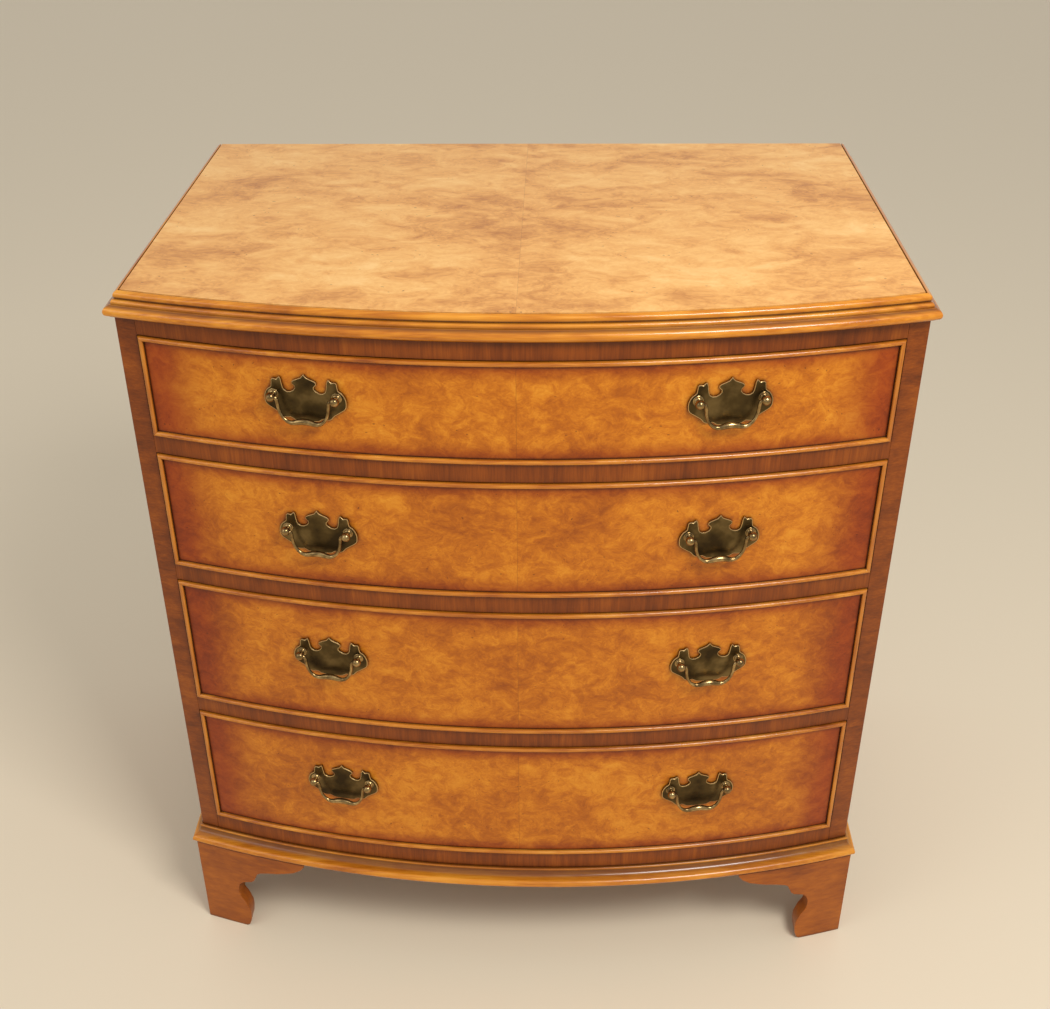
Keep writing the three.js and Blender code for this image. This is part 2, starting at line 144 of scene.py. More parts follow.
def burr_walnut(name, tones, stretch, seed, sizes, warp_size):
    """Polished burr walnut veneer: clouds of colour, curled figure and clusters of pin knots"""
    material = new_material(name, {"IOR": 1.4})
    mirrored, place, x, z = book_matched(material, stretch, seed)
    right = add_node(material, "Math", {0: x, 1: 0.0}, operation="GREATER_THAN")
    # The two leaves are cut one below the other, so their figure differs a little
    leaf = add_node(material, "Math", {0: right, 1: 0.012, 2: seed}, operation="MULTIPLY_ADD")
    waves = {"Vector": mirrored, "Scale": 1 / (warp_size * MM), "Detail": 3.0}
    push = add_node(material, "TexNoise", waves, "Color")
    push = add_node(material, "VectorMath", {0: push, 1: (0.5, 0.5, 0.5)}, operation="SUBTRACT")
    push = add_node(material, "VectorMath", {0: push, "Scale": 0.8 * warp_size * MM}, operation="SCALE")
    warped = add_node(material, "VectorMath", {0: mirrored, 1: push}, operation="ADD")

    figure = 0.0
    for size, (share, detail, rough, twist) in zip(sizes, figure_shares):
        grain = {"Scale": 1 / (size * MM), "Detail": detail, "Roughness": rough, "Distortion": twist}
        layer = add_node(material, "TexNoise", {"Vector": warped, "W": leaf, **grain}, noise_dimensions="4D")
        figure = add_node(material, "Math", {0: layer, 1: share, 2: figure}, operation="MULTIPLY_ADD")
    body = add_node(material, "ValToRGB", {"Fac": figure}, stops=tones)
    roughness = add_node(material, "Math", {0: layer, 1: 0.16, 2: 0.26}, operation="MULTIPLY_ADD")

    cluster, pores = [
        add_node(
            material, "TexNoise",
            {"Vector": warped, "Scale": 1 / (size * MM), "Detail": detail, "Roughness": 0.55, "W": start},
            noise_dimensions="4D",
        )
        for size, detail, start in ((CLUSTER_SIZE, 2.0, seed + 9), (PORE_SIZE, 3.0, seed))
    ]
    knots = add_node(material, "TexVoronoi", {"Vector": warped, "Scale": 1 / (KNOT_SPACING * MM)})
    knots = add_node(material, "Math", {0: knots, 1: 0.09}, operation="LESS_THAN")
    cluster = add_node(material, "Math", {0: cluster, 1: 0.53}, operation="GREATER_THAN")
    marks = add_node(material, "Math", {0: knots, 1: cluster}, operation="MULTIPLY")
    marks = add_node(material, "Math", {0: marks, 1: 0.6}, operation="MULTIPLY")
    body = add_node(material, "Mix", {0: marks, 6: body, 7: linear("#4c220c")}, 2, data_type="RGBA")
    bump = add_node(material, "Bump", {"Height": pores, "Strength": 1.0, "Distance": BURR_DEPTH})
    return material, {"Base Color": body, "Roughness": roughness, "Normal": bump}, place, x, z


def draw_seam(material, body, x, half, amount, colour):
    """The glue line where two leaves of veneer meet at the middle"""
    from_seam = add_node(material, "Math", {0: x}, operation="ABSOLUTE")
    seam = add_node(material, "Math", {0: from_seam, 1: half}, operation="LESS_THAN")
    seam = add_node(material, "Math", {0: seam, 1: amount}, operation="MULTIPLY")
    return add_node(material, "Mix", {0: seam, 6: body, 7: linear(colour)}, 2, data_type="RGBA")


def use_material(node, material):
    """A CAD node whose shape is right keeps it, and gets its finish"""
    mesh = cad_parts[node].data
    mesh.materials.clear()
    mesh.materials.append(material)


TOP_SEAM_HALF = 0.25 * MM
honey_tones = [(0.37, "#b3702f"), (0.44, "#cf8c42"), (0.5, "#e4a354"), (0.56, "#eeb364"), (0.64, "#f5c278")]
top_burr, finish, _, x, _ = burr_walnut(
    "honey burr walnut", honey_tones, (0.6, 1.0, 1.0), 2.7, sizes=(110, 24, 6), warp_size=50
)
finish["Base Color"] = draw_seam(top_burr, finish["Base Color"], x, TOP_SEAM_HALF, 0.3, "#8a5129")
join_shader(top_burr, finish)
use_material("top_board", top_burr)


# Edge mouldings of the top and of the base: solid walnut worked to a section of beads, coves and a round
# nose. Each is a bowed length at the front and a straight one at each side, mitred at the front corners and
# glued on.
BOW_RISE = 61 * MM
VENEER_RISE = 52 * MM
BOW_STEPS = 72
MERGE_DISTANCE = 0.005 * MM
case_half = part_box("side_right")[1].x
case_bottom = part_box("side_right")[0].z
back_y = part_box("back_panel")[1].y
bow_radius = (case_half ** 2 + BOW_RISE ** 2) / (2 * BOW_RISE)
bow_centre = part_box("rail_1")[0].y + bow_radius
veneer_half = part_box("top_board")[1].x
veneer_radius = (veneer_half ** 2 + VENEER_RISE ** 2) / (2 * VENEER_RISE)
veneer_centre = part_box("top_board")[0].y + veneer_radius


def bow_y(centre, radius, x):
    return centre - math.sqrt(radius ** 2 - x ** 2)


def round_points(middle, radii, start, end, count):
    """Points on an arc, with angles in degrees from outwards to downwards"""
    angles = [math.radians(start + (end - start) * i / count) for i in range(count + 1)]
    return [(middle[0] + radii[0] * math.cos(a), middle[1] + radii[1] * math.sin(a)) for a in angles]


def start_shape(name, points, fill="NGON"):
    """One flat face, or ring of edges, with the given corners, which is then shaped in edit mode"""
    bpy.ops.object.select_all(action="DESELECT")
    bpy.ops.mesh.primitive_circle_add(vertices=len(points), fill_type=fill)
    piece = bpy.context.object
    piece.name = name
    piece.data.name = name
    for vertex, point in zip(piece.data.vertices, points):
        vertex.co = point
    return piece


def edit_all():
    bpy.ops.object.mode_set(mode="EDIT")
    bpy.ops.mesh.select_all(action="SELECT")


def close_piece(piece, angle=35):
    """Merges doubles, turns the faces outwards and smooths the round stretches"""
    bpy.ops.mesh.select_all(action="SELECT")
    bpy.ops.mesh.remove_doubles(threshold=MERGE_DISTANCE)
    bpy.ops.mesh.normals_make_consistent(inside=False)
    bpy.ops.object.mode_set(mode="OBJECT")
    bpy.ops.object.shade_smooth_by_angle(angle=math.radians(angle))
    return piece


def trim(point, normal):
    """Cuts off all that lies beyond a plane and closes the cut"""
    bpy.ops.mesh.select_all(action="SELECT")
    bpy.ops.mesh.bisect(plane_co=point, plane_no=normal, use_fill=True, clear_outer=True)


def extrude(offset):
    bpy.ops.mesh.extrude_region_move(TRANSFORM_OT_translate={"value": offset})


def spin_bow(name, section, centre, radius, half):
    """A section of (outwards, upwards) points carried along the bow from one side to the other"""
    reach = math.asin(half / radius)
    corners = []
    for out, up in section:
        r = radius + out
        corners.append((-r * math.sin(reach), centre - r * math.cos(reach), up))
    piece = start_shape(name, corners)
    edit_all()
    bpy.ops.mesh.spin(steps=BOW_STEPS, angle=2 * reach, center=(0, centre, 0), axis=(0, 0, -1))
    return piece


def straight_walnut(name, tones, along, size, seed, depth, gloss=0.26, shade_and_grime=0.8, reach=5, ior=1.4):
    """Planed wood, its grain along X, Y or Z: long streaks, pores of a size, and a slow change of tone"""
    material = new_material(name, {"IOR": ior})
    place = add_node(material, "TexCoord", {}, "Object")
    stretch = [1.0, 1.0, 1.0]
    stretch["XYZ".index(along)] = 0.06
    shift = (seed, seed, seed)
    grain = add_node(material, "Mapping", {"Vector": place, "Scale": stretch, "Location": shift})
    streaks, fine, slow = [
        add_node(
            material, "TexNoise",
            {
                "Vector": vector, "Scale": 1 / (width * MM), "Detail": detail,
                "Roughness": rough, "Distortion": twist, "W": start,
            },
            noise_dimensions="4D",
        )
        for vector, width, detail, rough, twist, start in (
            (grain, 7 * size, 4.0, 0.6, 0.6, seed),
            (grain, size, 3.0, 0.6, 0.0, seed + 2),
            (place, 60, 2.0, 0.55, 0.0, seed + 4),
        )
    ]
    tone = 0.0
    for layer, share in ((streaks, 0.4), (fine, 0.3), (slow, 0.3)):
        tone = add_node(material, "Math", {0: layer, 1: share, 2: tone}, operation="MULTIPLY_ADD")
    body = add_node(material, "ValToRGB", {"Fac": tone}, stops=tones)
    # Painted shade and old soiled polish, darker where little sky is open
    if shade_and_grime:
        body = corner_shade_and_grime(material, body, reach, shade_and_grime)
    roughness = add_node(material, "Math", {0: fine, 1: 0.2, 2: gloss}, operation="MULTIPLY_ADD")
    bump = add_node(material, "Bump", {"Height": fine, "Strength": 1.0, "Distance": depth * MM})
    join_shader(material, {"Base Color": body, "Roughness": roughness, "Normal": bump})
    return material


moulding_tones = [(0.36, "#9a520e"), (0.45, "#b86a14"), (0.54, "#d0821e"), (0.66, "#e29a32")]


def moulding_walnut(name, along, top, depth, bands):
    """Polished moulding whose hollows are darkened by painted shade: bands of (depth share, darkness)"""
    material = straight_walnut(name, moulding_tones, along, 2.2, top, 0.05, gloss=0.1, reach=14, ior=1.5)
    place = add_node(material, "TexCoord", {}, "Object")
    height = add_node(material, "SeparateXYZ", {"Vector": place}, "Z")
    # Painted shade by height down the section, in the hollows and under the nose
    limits = {"From Min": top, "From Max": top - depth, "To Min": 0.0, "To Max": 1.0}
    share = add_node(material, "MapRange", {"Value": height, **limits})
    dark = add_node(material, "ValToRGB", {"Fac": share}, stops=bands)
    wood = material.node_tree.nodes["Principled BSDF"].inputs["Base Color"].links[0].from_socket
    body = add_node(material, "Mix", {0: dark, 6: wood, 7: linear("#4a1e08")}, 2, data_type="RGBA")
    join_shader(material, {"Base Color": body})
    return material


def edge_moulding(name, section, centre, radius, half, front, side, top, bands):
    """Three mitred lengths round the front and sides, from a section of (outwards, downwards) points"""
    depth = max(d for o, d in section)
    front_material = moulding_walnut(name + " front walnut", "X", top, depth, bands)
    side_material = moulding_walnut(name + " side walnut", "Y", top, depth, bands)
    inner = Vector((half, bow_y(centre, radius, half), 0))
    outer = Vector((half + side, bow_y(centre, radius + front, half + side), 0))
    mitre = (outer - inner).normalized()
    bow = spin_bow(name + "_front", [(o, top - d) for o, d in section], centre, radius, half + 2 * side)
    trim(inner, (-mitre.y, mitre.x, 0))
    trim((-inner.x, inner.y, 0), (mitre.y, mitre.x, 0))
    pieces = {"front": close_piece(bow)}
    for way, place in ((1, "right"), (-1, "left")):
        corners = [(way * (half + o * side / front), back_y, top - d) for o, d in section]
        strip = start_shape(f"{name}_{place}", corners)
        edit_all()
        extrude((0, outer.y - 2 * side - back_y, 0))
        trim((way * inner.x, inner.y, 0), (way * mitre.y, -mitre.x, 0))
        pieces[place] = close_piece(strip)
    for place, piece in pieces.items():
        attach(piece, "carcass")
        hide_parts(f"{name}_{place}")
        piece.data.materials.append(front_material if place == "front" else side_material)


def scaled(points):
    return [(out * MM, down * MM) for out, down in points]


# How far the mouldings stand out, and their sections in millimetres outwards and downwards
TOP_LEAD_FRONT = 17 * MM
TOP_LEAD_SIDE = 16 * MM
BASE_LEAD_FRONT = 16 * MM
BASE_LEAD_SIDE = 11.4 * MM
top_section = scaled(
    [(0.4, 25), (0.4, 2.8), (1.4, 2.8)]
    + round_points((2.3, 0.9), (0.8, 0.9), 180, 300, 5)
    + round_points((2.7, 4.3), (3.6, 3.6), -80, 10, 8)
    + [(6.3, 6.2), (5.4, 6.9), (5.4, 7.6)]
    + round_points((5.6, 11.2), (3.6, 3.4), -80, 0, 8)
    + [(9.2, 12.2), (10.4, 12.4)]
    + round_points((13.4, 10.2), (3.4, 3.4), 140, 95, 4)
    + round_points((12.4, 18.7), (4.6, 4.9), -75, 85, 14)
    + [(11.8, 24.2), (11.2, 25)]
)
# Painted shade down the top moulding's section: (depth share, darkness)
top_shade_bands = [
    (0.0, 0.0), (0.2, 0.0), (0.28, 0.8), (0.34, 0.0), (0.46, 0.0), (0.52, 0.75), (0.6, 0.0), (0.93, 0.0),
    (1.0, 0.8),
]
edge_moulding(
    "top_moulding", top_section, veneer_centre, veneer_radius, veneer_half, TOP_LEAD_FRONT, TOP_LEAD_SIDE,
    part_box("top_board")[1].z, top_shade_bands,
)
base_section = scaled(
    [(0.4, 21.4), (0.4, 0.2)]
    + round_points((2.1, 1.5), (1.5, 1.5), -110, 60, 8)
    + [(2.9, 3.1)]
    + round_points((10.2, 3.6), (7.2, 6.3), 180, 100, 8)
    + round_points((11.3, 14.9), (4.7, 4.7), -95, 70, 14)
    + [(10.6, 20.6), (9.2, 21.4)]
)
# Painted shade down the base moulding's section: (depth share, darkness)
base_shade_bands = [
    (0.0, 0.4), (0.05, 0.0), (0.12, 0.0), (0.17, 0.75), (0.4, 0.6), (0.49, 0.0), (0.85, 0.0), (0.95, 0.85),
]
edge_moulding(
    "base_moulding", base_section, bow_centre, bow_radius, case_half, BASE_LEAD_FRONT, BASE_LEAD_SIDE,
    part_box("base_moulding_front")[1].z, base_shade_bands,
)


# Case: two side panels whose front edges show as stiles, five bowed rails, and pine boards inside and
# behind. Stiles and rails are faced with cross grained walnut, darkened along their edges by painted shade
# and old soiled polish.
STILE_STEPS = 4
REBATE_WIDTH = 12 * MM
REBATE_DEPTH = 10 * MM
PANEL_ARRIS = 0.8 * MM


def soften(piece, width, angle=40, segments=3, shade=35, material=-1):
    """Rounds the sharp edges of a piece"""
    bevel = piece.modifiers.new("arris", "BEVEL")
    bevel.width = width
    bevel.segments = segments
    bevel.limit_method = "ANGLE"
    bevel.angle_limit = math.radians(angle)
    bevel.material = material
    bpy.context.view_layer.objects.active = piece
    bpy.ops.object.modifier_apply(modifier="arris")
    bpy.ops.object.shade_smooth_by_angle(angle=math.radians(shade))


def bow_line(centre, radius, start, end, steps=BOW_STEPS):
    xs = [start + (end - start) * i / steps for i in range(steps + 1)]
    return [(x, bow_y(centre, radius, x)) for x in xs]


def upright(name, plan, bottom, top):
    """A board cut to a plan outline and standing from bottom to top"""
    piece = start_shape(name, [(x, y, bottom) for x, y in plan])
    edit_all()
    extrude((0, 0, top - bottom))
    return close_piece(piece)


# Walnut under old shellac: a soft gloss, with its pores just felt
crossband_tones = [(0.36, "#5c2806"), (0.45, "#733408"), (0.54, "#86400a"), (0.64, "#9a5010")]
side_tones = [(0.36, "#83420c"), (0.45, "#9a5410"), (0.54, "#ae6416"), (0.66, "#c07a24")]
# Rails and stiles take strong painted shade and old soiled polish along their edges by the beads
rail_walnut = straight_walnut(
    "cross grained walnut", crossband_tones, "Z", 1.6, 5, 0.03, shade_and_grime=0.95, reach=9
)
stile_walnut = straight_walnut("stile walnut", crossband_tones, "X", 1.6, 7, 0.03, shade_and_grime=0.95, reach=9)
side_walnut = straight_walnut("side panel walnut", side_tones, "Z", 4.5, 9, 0.03)

for node in ("rail_top", "rail_1", "rail_2", "rail_3", "rail_bottom"):
    low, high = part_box(node)
    plan = bow_line(bow_centre, bow_radius, low.x, high.x) + [(high.x, high.y), (low.x, high.y)]
    rail = upright(node, plan, low.z, high.z)
    rail.data.materials.append(rail_walnut)
    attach(rail, "carcass")
    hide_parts(node)

rebate_x = case_half - REBATE_WIDTH
rebate_y = back_y - REBATE_DEPTH
inner_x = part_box("rail_1")[1].x
panel_plan = bow_line(bow_centre, bow_radius, inner_x, case_half, STILE_STEPS)
panel_plan += [(case_half, back_y), (rebate_x, back_y), (rebate_x, rebate_y), (inner_x, rebate_y)]
for place, way in (("right", 1), ("left", -1)):
    low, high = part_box(f"side_{place}")
    panel = upright(f"side_{place}", [(way * x, y) for x, y in panel_plan], low.z, high.z)
    soften(panel, PANEL_ARRIS)
    panel.data.materials.append(side_walnut)
    panel.data.materials.append(stile_walnut)
    for face in panel.data.polygons:
        face.material_index = 1 if face.normal.y < -0.5 else 0
    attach(panel, "carcass")
    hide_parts(f"side_{place}")


def plain_board(name, tones, along, seed):
    """Bare planed softwood or oak: long pale grain with no polish"""
    return straight_walnut(name, tones, along, 2.6, seed, 0.08, gloss=0.55, shade_and_grime=0)


pine_tones = [(0.34, "#7d5a36"), (0.46, "#95703f"), (0.58, "#a98350"), (0.72, "#bb9663")]
pine_across = plain_board("planed pine across", pine_tones, "X", 11)
pine_upright = plain_board("planed pine upright", pine_tones, "Z", 13)
for node in ("dust_board_1", "dust_board_2", "dust_board_3", "bottom_board", "top_kicker_frame"):
    use_material(node, pine_across)
use_material("back_panel", pine_upright)


# Drawer fronts: a bowed board faced with burr walnut inside a raised cockbead, which is a separate mitred
# strip glued into a rebate all round. The burr is darker near the ends and along the top and bottom.
BEAD_WIDTH = 5 * MM
BEAD_LEAD = 4 * MM
BEAD_STEPS = 8
FRONT_THICKNESS = 20 * MM
FRONT_SEAM_HALF = 0.35 * MM
WANDER = 36 * MM
WANDER_SIZE = 38
# Where each shade starts and ends, measured inwards from the cockbead
END_SHADE = (10 * MM, 75 * MM)
EDGE_SHADE = (1 * MM, 20 * MM)
# The dark line just inside the cockbead is painted shade and soiling
SHADE_AND_DIRT_LINE = (0.3 * MM, 2.4 * MM)
# Clouds, mottle and curls of the burr, in millimetres
FIGURE_SIZES = (75, 13, 4)
FIGURE_WARP = 34
front_tones = [(0.36, "#94480a"), (0.44, "#ab5a0c"), (0.5, "#bd6a10"), (0.56, "#cd7b18"), (0.66, "#dd9228")]
bead_tones = [(0.36, "#8a440e"), (0.45, "#aa5e16"), (0.54, "#c47820"), (0.64, "#d69034")]
bead_across = straight_walnut("cockbead across", bead_tones, "X", 1.4, 15, 0.03, gloss=0.1, ior=1.5)
bead_upright = straight_walnut("cockbead upright", bead_tones, "Z", 1.4, 17, 0.03, gloss=0.1, ior=1.5)
front_centres = {}


def shade_front(burr, body, place, x, z, low, high, seed):
    """Darkens a front's ends and edges in wavering bands, with painted shade and soiling inside its bead"""
    from_middle = add_node(burr, "Math", {0: x}, operation="ABSOLUTE")
    from_end = add_node(burr, "Math", {0: high.x, 1: from_middle}, operation="SUBTRACT")
    above = add_node(burr, "Math", {0: z, 1: low.z}, operation="SUBTRACT")
    below = add_node(burr, "Math", {0: high.z, 1: z}, operation="SUBTRACT")
    from_edge = add_node(burr, "Math", {0: above, 1: below}, operation="MINIMUM")
    waves = {"Vector": place, "Scale": 1 / (WANDER_SIZE * MM), "Detail": 3.0, "Roughness": 0.55, "W": seed}
    wander = add_node(burr, "TexNoise", waves, noise_dimensions="4D")
    wander = add_node(burr, "Math", {0: wander, 1: WANDER, 2: -WANDER / 2}, operation="MULTIPLY_ADD")
    to_end = add_node(burr, "Math", {0: from_end, 1: wander}, operation="ADD")
    to_edge = add_node(burr, "Math", {0: wander, 1: 0.4, 2: from_edge}, operation="MULTIPLY_ADD")
    nearest = add_node(burr, "Math", {0: from_end, 1: from_edge}, operation="MINIMUM")
    ends, edges, shade_and_dirt = [
        add_node(
            burr, "MapRange",
            {"Value": value, "From Min": start, "From Max": end, "To Min": amount, "To Max": 0.0},
            interpolation_type="SMOOTHSTEP",
        )
        for value, (start, end), amount in (
            (to_end, END_SHADE, 0.9), (to_edge, EDGE_SHADE, 0.75), (nearest, SHADE_AND_DIRT_LINE, 0.85)
        )
    ]
    dark = add_node(burr, "Math", {0: ends, 1: edges}, operation="MAXIMUM")
    shade = {0: dark, 6: body, 7: linear("#b8743c")}
    body = add_node(burr, "Mix", shade, 2, data_type="RGBA", blend_type="MULTIPLY")
    # A dark line just inside the cockbead: painted shade and soiling
    body = add_node(burr, "Mix", {0: shade_and_dirt, 6: body, 7: linear("#2a1006")}, 2, data_type="RGBA")
    body = draw_seam(burr, body, x, FRONT_SEAM_HALF, 0.25, "#4a2410")
    # Painted shade in the corners by the cockbead and round the handles
    return corner_shade_and_grime(burr, body, 7, 0.85)


half_round = BEAD_WIDTH / 2
bead_profile = [(-FRONT_THICKNESS, 0), (-FRONT_THICKNESS, BEAD_WIDTH)]
for i in range(BEAD_STEPS + 1):
    angle = math.radians(90 - 180 * i / BEAD_STEPS)
    out = BEAD_LEAD - half_round + half_round * math.cos(angle)
    bead_profile.append((out, half_round + half_round * math.sin(angle)))

for number in (1, 2, 3, 4):
    node = f"drawer_{number}_front"
    low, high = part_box(node)
    front_centres[number] = (low.z + high.z) / 2
    board_high = Vector((high.x - BEAD_WIDTH, 0, high.z - BEAD_WIDTH))
    board_low = Vector((low.x + BEAD_WIDTH, 0, low.z + BEAD_WIDTH))
    burr, finish, place, x, z = burr_walnut(
        f"drawer {number} burr", front_tones, (0.8, 1.0, 1.0), 3.1 * number, FIGURE_SIZES, FIGURE_WARP
    )
    body = finish["Base Color"]
    finish["Base Color"] = shade_front(burr, body, place, x, z, board_low, board_high, number)
    join_shader(burr, finish)

    plan = bow_line(bow_centre, bow_radius, board_low.x, board_high.x)
    plan += reversed(bow_line(bow_centre, bow_radius - FRONT_THICKNESS, board_low.x, board_high.x))
    board = upright(f"{node}_burr", plan, board_low.z, board_high.z)
    board.data.materials.append(burr)
    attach(board, f"drawer_{number}")
    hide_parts(node)

    beads = []
    for place, base, way in (("bottom", low.z, 1), ("top", high.z, -1)):
        section = [(out, base + way * up) for out, up in bead_profile]
        strip = spin_bow(f"{node}_bead_{place}", section, bow_centre, bow_radius, high.x + BEAD_WIDTH)
        trim((high.x, 0, base), (1, 0, way))
        trim((low.x, 0, base), (-1, 0, way))
        strip.data.materials.append(bead_across)
        beads.append(close_piece(strip))
    for place, base, way in (("right", high.x, -1), ("left", low.x, 1)):
        corners = []
        for out, along in bead_profile:
            x = base + way * along
            corners.append((x, bow_y(bow_centre, bow_radius + out, x), low.z))
        strip = start_shape(f"{node}_bead_{place}", corners)
        edit_all()
        extrude((0, 0, high.z - low.z))
        trim((base, 0, high.z), (way, 0, 1))
        trim((base, 0, low.z), (way, 0, -1))
        strip.data.materials.append(bead_upright)
        beads.append(close_piece(strip))
    for strip in beads:
        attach(strip, f"drawer_{number}")
        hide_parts(node)


# Drawer linings: quarter sawn oak, pale brown and unpolished, with the grain along each board.
oak_tones = [(0.34, "#8f6b40"), (0.46, "#a9834f"), (0.58, "#bd9863"), (0.72, "#cbab79")]
oak_deep = plain_board("oak along the side", oak_tones, "Y", 19)
oak_across = plain_board("oak across", oak_tones, "X", 21)
for number in (1, 2, 3, 4):
    use_material(f"drawer_{number}_side_left", oak_deep)
    use_material(f"drawer_{number}_side_right", oak_deep)
    use_material(f"drawer_{number}_back", oak_across)
    use_material(f"drawer_{number}_bottom", oak_across)


# Feet: shaped walnut brackets under the base moulding, a bowed one in front and a straight one at each side,
# mitred at the corner with a softwood block glued behind. The back feet have a plain straight cut bracket at
# the rear.
FOOT_LEAD_FRONT = 12.5 * MM
FOOT_LEAD_SIDE = 7.6 * MM
FOOT_LENGTH = 140 * MM
FOOT_THICKNESS = 20 * MM
FOOT_ARRIS = 0.7 * MM
FOOT_STEP = 10 * MM
FOOT_BLOCK = 28 * MM
FOOT_BLOCK_LIFT = 10 * MM
BLOCK_ARRIS = 1 * MM
foot_tones = [(0.36, "#7c3a08"), (0.45, "#92480a"), (0.54, "#a4560e"), (0.66, "#b66616")]
foot_front = straight_walnut("foot walnut front", foot_tones, "X", 3.0, 23, 0.05)
foot_side = straight_walnut("foot walnut side", foot_tones, "Y", 3.0, 25, 0.05)
# From the outer bottom corner: how far along and how far up, in millimetres
bracket_outline = [
    (0, 0), (52, 0), (55.5, 3), (58.3, 10), (59.6, 20), (59.3, 30), (56.5, 38), (54.2, 44), (50, 50),
    (48.2, 55), (47.4, 62), (47.8, 67), (50, 73), (54, 77.5), (58, 79.5), (66.5, 82), (70.5, 85.6),
    (73.2, 92), (76, 98.5), (80, 101), (91, 104.5), (104, 107.3), (114, 110.5), (123.6, 113.8), (130, 118),
    (134.5, 121.6), (138.5, 127), (140, 131.2), (0, 131.2),
]
back_outline = [(0, 0), (42, 0), (50, 72), (100, 107.5), (100, 131.2), (0, 131.2)]
foot_x = case_half + FOOT_LEAD_SIDE
foot_radius = bow_radius + FOOT_LEAD_FRONT
foot_corner = bow_y(bow_centre, foot_radius, foot_x)


def finish_foot(piece, node, material, arris=FOOT_ARRIS, angle=50):
    """Rounds a finished piece of a foot, and gives it its material and its place in the chest"""
    soften(piece, arris, angle)
    piece.data.materials.append(material)
    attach(piece, "carcass")
    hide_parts(node)


def side_bracket(node, way, start, along):
    """A bracket in the plane of the side panel, from its outer corner towards the other foot"""
    corners = [(way * foot_x, start + along * a * MM, u * MM) for a, u in bracket_outline]
    piece = start_shape(node + "_side", corners)
    edit_all()
    extrude((-way * FOOT_THICKNESS, 0, 0))
    return piece


def glue_block(node, way, front):
    x = way * (foot_x - FOOT_THICKNESS / 2 - FOOT_BLOCK)
    inner = way * (foot_x - FOOT_THICKNESS)
    corners = [(x, front), (inner, front), (inner, front + FOOT_BLOCK), (x, front + FOOT_BLOCK)]
    block = upright(node + "_block", corners, FOOT_BLOCK_LIFT, case_bottom)
    finish_foot(block, node, pine_upright, BLOCK_ARRIS, 40)


for place, way in (("right", 1), ("left", -1)):
    node = f"foot_front_{place}"
    corner = Vector((way * foot_x, foot_corner, 0))
    mitre = Vector((-way, 1, 0)).normalized()
    face = [(way * (foot_x - a * MM), foot_corner - 2 * FOOT_THICKNESS, u * MM) for a, u in bracket_outline]
    bowed = start_shape(node + "_front", face)
    edit_all()
    # Cuts at even steps let the flat face follow the bow
    cut = FOOT_STEP
    while cut < FOOT_LENGTH:
        bpy.ops.mesh.select_all(action="SELECT")
        bpy.ops.mesh.bisect(plane_co=(way * (foot_x - cut), 0, 0), plane_no=(1, 0, 0))
        cut += FOOT_STEP
    bpy.ops.mesh.select_all(action="SELECT")
    extrude((0, FOOT_THICKNESS, 0))
    bpy.ops.object.mode_set(mode="OBJECT")
    for vertex in bowed.data.vertices:
        behind = vertex.co.y > foot_corner - 1.5 * FOOT_THICKNESS
        radius = foot_radius - FOOT_THICKNESS if behind else foot_radius
        vertex.co.y = bow_y(bow_centre, radius, vertex.co.x)
    edit_all()
    trim(corner, (mitre.y * way, -mitre.x * way, 0))
    finish_foot(close_piece(bowed), node, foot_front)
    side = side_bracket(node, way, foot_corner, 1)
    trim(corner, (-mitre.y * way, mitre.x * way, 0))
    finish_foot(close_piece(side), node, foot_side)
    glue_block(node, way, foot_corner + FOOT_THICKNESS)

    node = f"foot_back_{place}"
    side = side_bracket(node, way, back_y, -1)
    finish_foot(close_piece(side), node, foot_side)
    corners = [(way * max(0, foot_x - a * MM), back_y, u * MM) for a, u in back_outline]
    rear = start_shape(node + "_rear", corners)
    edit_all()
    extrude((0, -FOOT_THICKNESS, 0))
    trim((way * (foot_x - FOOT_THICKNESS), 0, 0), (way, 0, 0))
    finish_foot(close_piece(rear), node, pine_across)
    glue_block(node, way, back_y - FOOT_THICKNESS - FOOT_BLOCK)


# Handles: cast brass, browned with age and bright where hands rub it. Each is a pierced backplate, two
# turned posts with ball heads and a swan neck bail that hangs in holes in the balls.
HANDLE_SPREAD = 204 * MM
POST_SPACING = 64 * MM
PIVOT_LEAD = 10.6 * MM
PLATE_THICKNESS = 2.2 * MM
PLATE_SEAT = 0.3 * MM
PLATE_ARRIS = 0.7 * MM
BALL_RADIUS = 4.8
BALL_HOLE = 0.02
# How far the posts stand above the middle of each drawer's front
POST_LIFTS = {1: 11 * MM, 2: 2.5 * MM, 3: 12.8 * MM, 4: 14 * MM}
# The backplate's right half, in millimetres across and up from the line of the posts
plate_half = [
    (0, 23), (1.2, 21.2), (2.9, 19.2), (6.9, 17.5), (10.4, 16), (12.6, 14.2), (12.2, 12), (9.9, 9.7),
    (9.7, 7.6), (11.4, 5.3), (14.8, 3.5), (18.0, 3.4), (20.6, 5), (21.7, 7.6), (22.5, 12), (22.9, 15.6),
    (24.3, 18.9),
    (25.9, 17.8), (27.7, 15.6), (30, 16.4), (32, 16.3), (33.2, 14.4), (33.3, 12.2), (33.9, 8), (35.4, 6.4),
    (37.4, 5.1), (39.4, 2.6), (40.2, 0.9), (41.3, -2), (41.6, -4.8), (41.4, -8), (41, -10.1), (39.5, -12.4),
    (37.9, -13.7), (33.3, -16.8), (29.1, -19.6), (27.2, -21.6), (25.8, -23.5), (23.4, -25), (20.8, -25.2),
    (16.6, -24.6), (14.4, -25.8), (12.5, -27.2), (9, -27.8), (5, -28), (0, -28),
]
